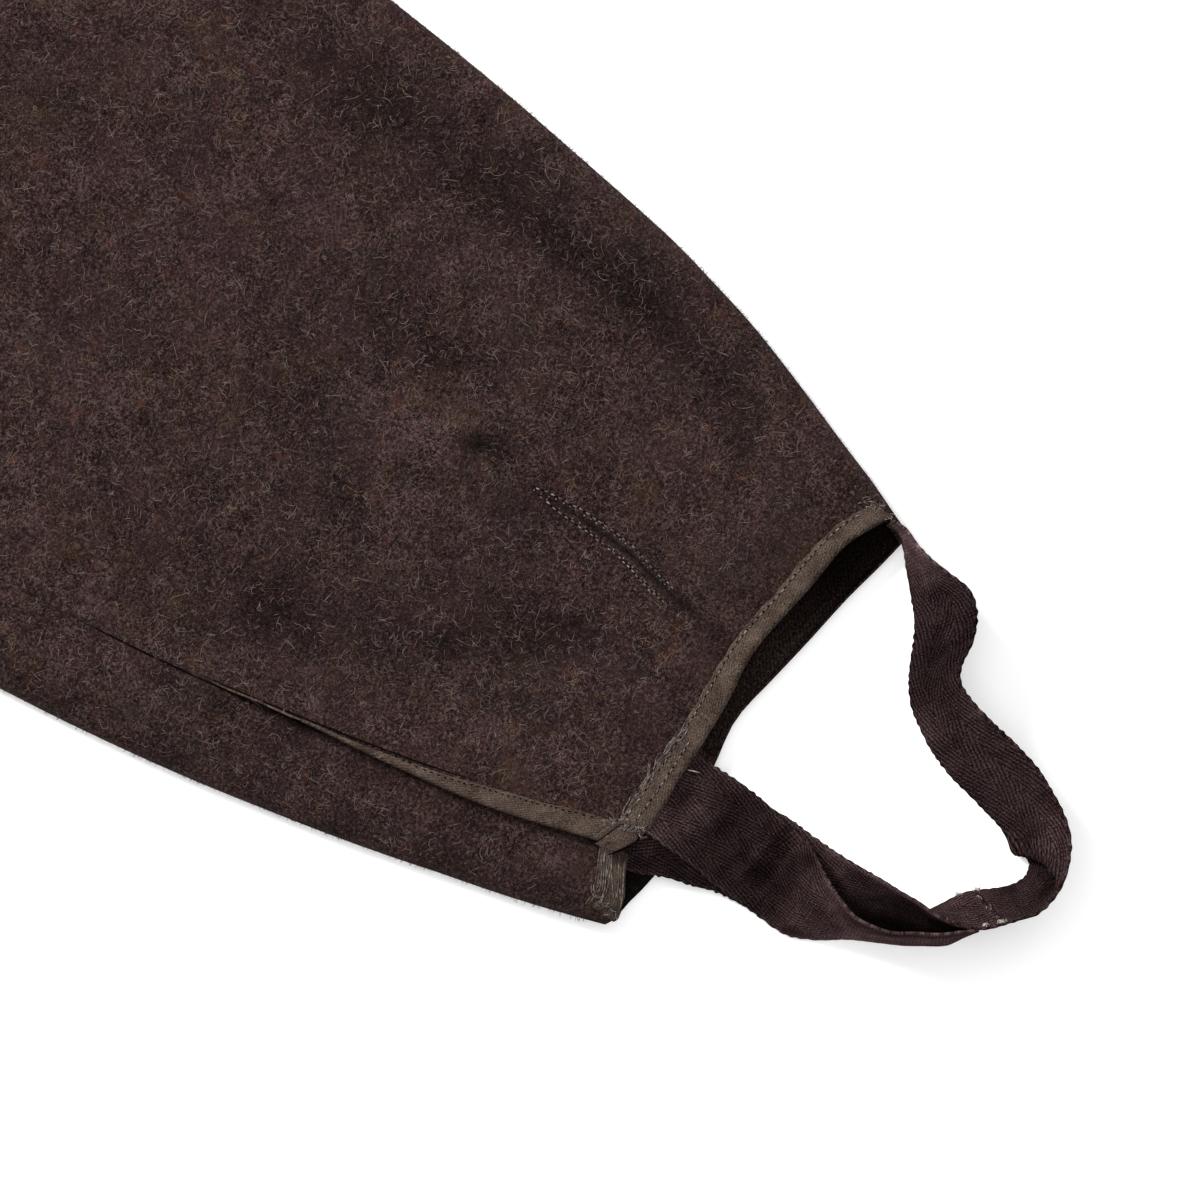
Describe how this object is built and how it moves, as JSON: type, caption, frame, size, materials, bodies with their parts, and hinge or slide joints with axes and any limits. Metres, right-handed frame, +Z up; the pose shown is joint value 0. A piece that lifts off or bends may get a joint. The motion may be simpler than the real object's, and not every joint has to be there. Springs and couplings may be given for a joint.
{
  "type": "military trousers",
  "caption": "Tapered wool trousers laid flat, with a waistband and fly, bound ankle vents and tape foot straps.",
  "frame": {"origin": "middle of the bounding box's base, on the surface that the trousers lie on", "axes": "+Y from the hems to the waist, +Z up through the front, +X towards the wearer's left"},
  "size_m": [0.6932, 1.1566, 0.0306],
  "materials": {
    "wool": "thick fulled wool with short fuzz",
    "binding": "fine plain-woven cotton tape",
    "tape": "herringbone twill tape",
    "facing": "dark twill",
    "button": "dull dark brown"
  },
  "bodies": {
    "root": {"front_right": "wool", "back_right": "wool", "waistband_right": "wool", "front_hem_binding_right": "binding", "vent_binding_right": "binding", "back_hem_binding_right": "binding", "back_hem_facing_right": "facing", "strap_front_right": "tape", "strap_back_right": "tape", "strap_loop_right": "tape", "front_left": "wool", "back_left": "wool", "waistband_left": "wool", "front_hem_binding_left": "binding", "vent_binding_left": "binding", "back_hem_binding_left": "binding", "back_hem_facing_left": "facing", "strap_front_left": "tape", "strap_back_left": "tape", "strap_loop_left": "tape", "fly_flap": "wool", "waist_button": "button"}
  },
  "joints": []
}
